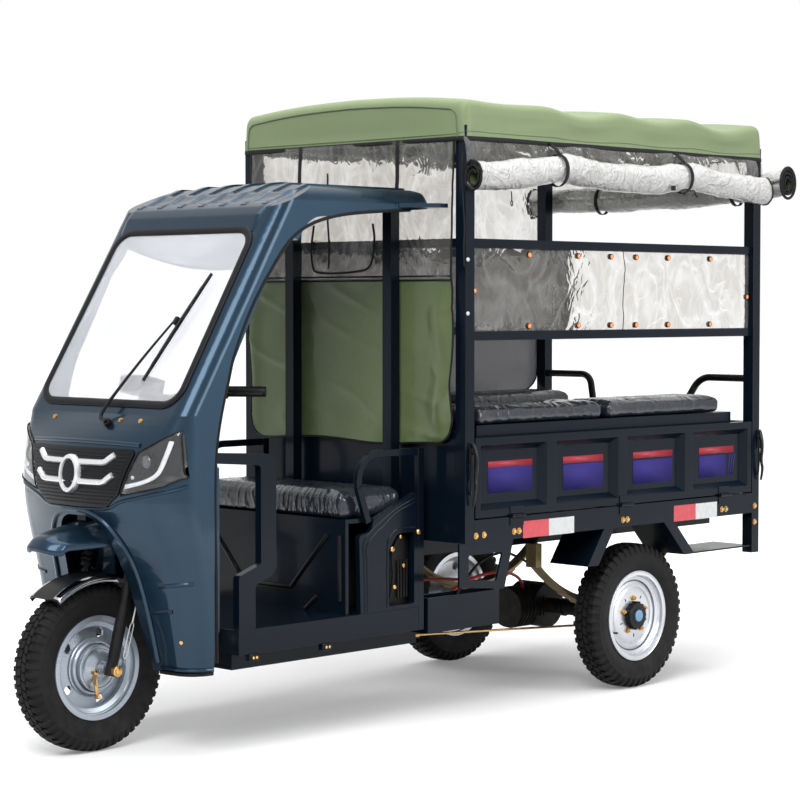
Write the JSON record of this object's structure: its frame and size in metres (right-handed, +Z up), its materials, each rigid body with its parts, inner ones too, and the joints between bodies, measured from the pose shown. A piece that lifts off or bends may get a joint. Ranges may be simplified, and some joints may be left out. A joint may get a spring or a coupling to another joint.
{
  "type": "auto rickshaw",
  "caption": "Three-wheeled auto rickshaw with a half-open cab, steered front wheel, and a bench-seated box with drop sides under a tarpaulin roof.",
  "frame": {"origin": "on the ground, at the middle of the outline seen from above", "axes": "+X to the vehicle's left, +Y to its rear, +Z up"},
  "size_m": [1.31, 3.247, 2.16],
  "materials": {
    "cab_paint": "metallic blue gloss",
    "frame_paint": "dark navy gloss",
    "clear_glass": "clear",
    "black_rubber": "satin",
    "silver_trim": "bright silver",
    "black_plastic": "gloss black",
    "lamp_lens": "clear over dark reflector",
    "seat_cover": "dark vinyl under clear film",
    "tarpaulin": "sage green coated cloth",
    "curtain_film": "clear soft film",
    "rolled_curtain": "white coated cloth",
    "black_iron": "black paint",
    "black_steel": "black",
    "tyre_rubber": "matt",
    "rim_grey": "grey",
    "rim_silver": "silver"
  },
  "bodies": {
    "root": {"cab_front": "cab_paint", "cab_roof": "cab_paint", "windscreen": "clear_glass", "windscreen_seal": "black_rubber", "grille": "black_plastic", "grille_trim": "silver_trim", "headlamps": "lamp_lens", "fender_beak": "cab_paint", "firewall": "cab_paint", "chassis_frame": "frame_paint", "floor_pan": "frame_paint", "seat_box": "frame_paint", "driver_cushion": "seat_cover", "battery_box": "black_plastic", "armrests": "frame_paint", "side_guards": "frame_paint", "cab_posts": "frame_paint", "box_frame": "frame_paint", "bed": "frame_paint", "canopy": "tarpaulin", "front_curtain": "curtain_film", "right_curtain": "curtain_film", "side_roll": "rolled_curtain", "rear_roll": "rolled_curtain", "infill_films": "curtain_film", "bench_bases": "frame_paint", "bench_cushions": "seat_cover", "handrails": "frame_paint", "rear_axle": "black_iron", "leaf_springs": "black_iron", "mud_plates": "frame_paint", "front_brackets": "frame_paint", "side_skirts": "frame_paint"},
    "steering": {"fork": "black_steel", "handlebar": "black_steel", "front_mudguard": "black_plastic"},
    "front_wheel": {"front_tyre": "tyre_rubber", "front_rim": "rim_grey"},
    "rear_wheel_left": {"rear_tyre_left": "tyre_rubber", "rear_rim_left": "rim_silver"},
    "rear_wheel_right": {"rear_tyre_right": "tyre_rubber", "rear_rim_right": "rim_silver"},
    "left_side": {"side_board_left": "frame_paint"},
    "right_side": {"side_board_right": "frame_paint"},
    "tail": {"tailgate": "frame_paint"}
  },
  "joints": [
    {"name": "steer", "type": "hinge", "parent": "root", "child": "steering", "pos_m": [0, -1.31623, 0.27], "axis": [0, 0.2588, 0.9659], "range_deg": [-35, 35]},
    {"name": "front_spin", "type": "hinge", "parent": "steering", "child": "front_wheel", "pos_m": [0, -1.3535, 0.27], "axis": [1, 0, 0], "continuous": true},
    {"name": "rear_left_spin", "type": "hinge", "parent": "root", "child": "rear_wheel_left", "pos_m": [0.46, 0.8265, 0.27], "axis": [1, 0, 0], "continuous": true},
    {"name": "rear_right_spin", "type": "hinge", "parent": "root", "child": "rear_wheel_right", "pos_m": [-0.46, 0.8265, 0.27], "axis": [1, 0, 0], "continuous": true},
    {"name": "left_side_drop", "type": "hinge", "parent": "root", "child": "left_side", "pos_m": [0.566, 0, 0.698], "axis": [0, 1, 0], "range_deg": [0, 175]},
    {"name": "right_side_drop", "type": "hinge", "parent": "root", "child": "right_side", "pos_m": [-0.566, 0, 0.698], "axis": [0, -1, 0], "range_deg": [0, 175]},
    {"name": "tailgate_drop", "type": "hinge", "parent": "root", "child": "tail", "pos_m": [0, 1.5295, 0.698], "axis": [-1, 0, 0], "range_deg": [0, 175]}
  ]
}
